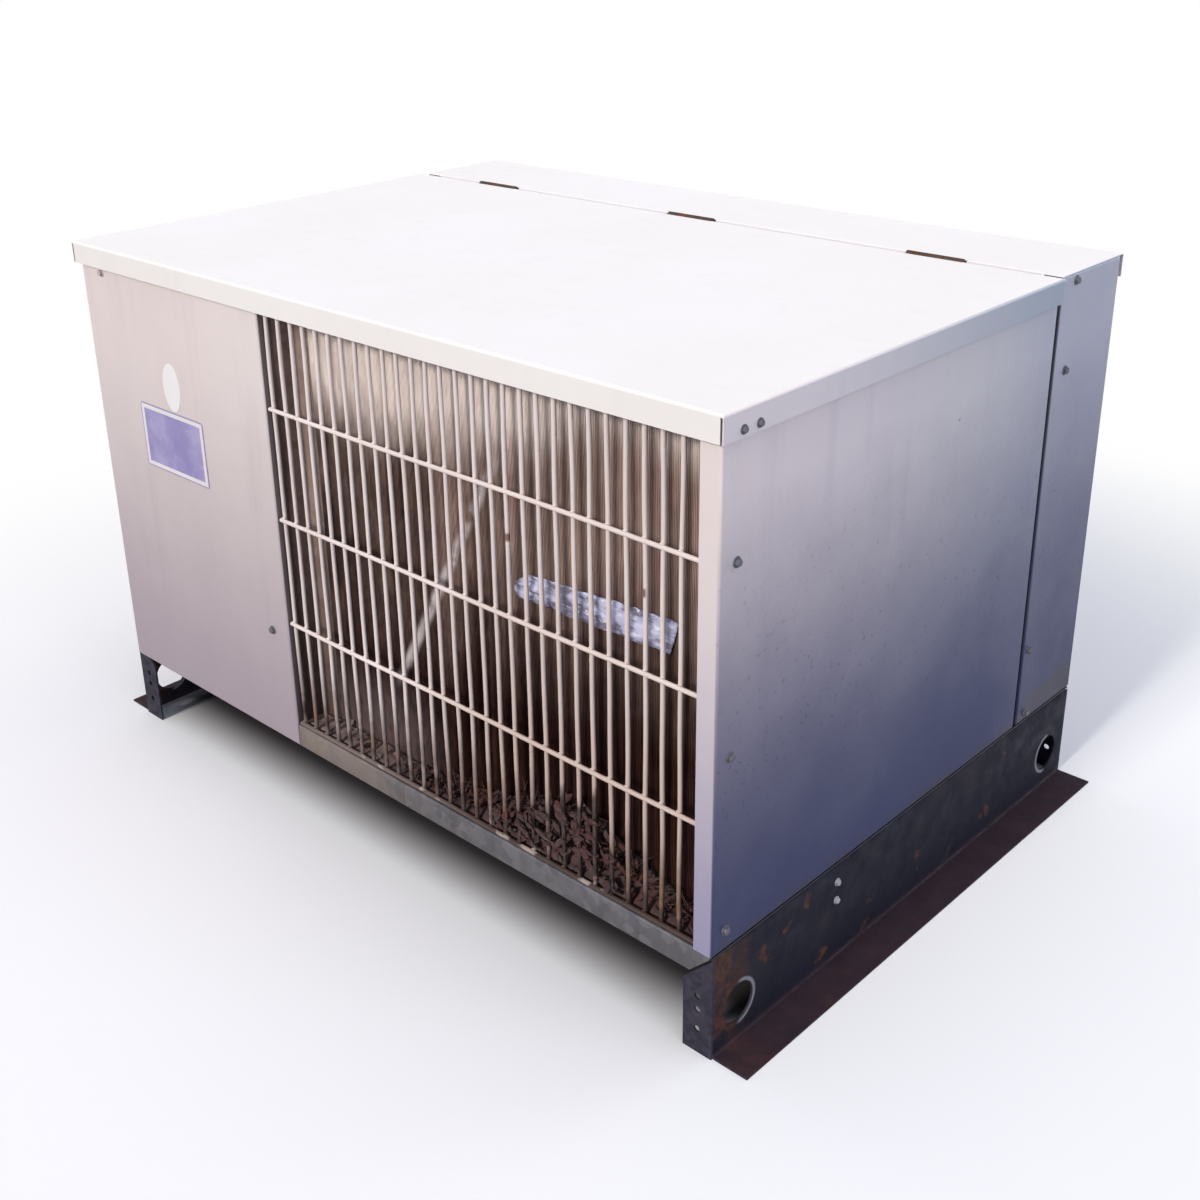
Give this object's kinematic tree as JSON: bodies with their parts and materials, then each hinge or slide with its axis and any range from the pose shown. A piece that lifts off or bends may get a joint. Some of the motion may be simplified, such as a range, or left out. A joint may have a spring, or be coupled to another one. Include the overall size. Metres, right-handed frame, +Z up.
{
  "type": "air-cooled condensing unit",
  "caption": "Outdoor air-cooled condenser cabinet on steel skids: painted sheet panels, finned coil behind a welded wire guard, hinged lid over the bay and coil.",
  "frame": {"origin": "on the ground under the middle of the cabinet", "axes": "+X to the right along the front, +Y to the back, +Z up"},
  "size_m": [1.16, 0.763, 0.7095],
  "materials": {
    "painted_panel": "satin off-white paint, sun-faded and dusty",
    "galvanised_base": "dull galvanised steel",
    "weathered_skid": "weathered dark steel with rust",
    "rusty_hinge": "rusty steel",
    "guard_wire": "coated wire, rusty near the foot",
    "dusty_fins": "aluminium fins under brown dust",
    "galvanised_sheet": "galvanised sheet",
    "copper_tube": "dull copper",
    "fan_aluminium": "mill finish",
    "motor_paint": "black paint",
    "vessel_paint": "black paint",
    "grommet_rubber": "black rubber",
    "control_box_paint": "grey paint"
  },
  "bodies": {
    "root": {"front_left_panel": "painted_panel", "left_side_panel": "painted_panel", "right_side_panel": "painted_panel", "rear_left_panel": "painted_panel", "rear_left_corner": "painted_panel", "rear_right_corner": "painted_panel", "rear_top_strip": "painted_panel", "base_pan": "galvanised_base", "left_skid": "weathered_skid", "right_skid": "weathered_skid", "hinge_fixed_leaves": "rusty_hinge", "hinge_pins": "rusty_hinge", "coil_guard": "guard_wire", "outlet_guard": "guard_wire", "coil_fin_pack": "dusty_fins", "coil_left_end_plate": "galvanised_sheet", "coil_right_end_plate": "galvanised_sheet", "fan_shroud": "galvanised_sheet", "partition": "galvanised_sheet", "motor_straps": "galvanised_sheet", "left_return_bends": "copper_tube", "right_return_bends": "copper_tube", "discharge_line": "copper_tube", "liquid_line": "copper_tube", "fan": "fan_aluminium", "fan_motor": "motor_paint", "compressor": "vessel_paint", "receiver": "vessel_paint", "compressor_grommets": "grommet_rubber", "control_box": "control_box_paint"},
    "lid": {"lid": "painted_panel", "hinge_lid_leaves": "rusty_hinge"}
  },
  "joints": [
    {"name": "lid_hinge", "type": "hinge", "parent": "root", "child": "lid", "pos_m": [0, 0.231, 0.705], "axis": [-1, 0, 0], "range_deg": [0, 80]}
  ]
}
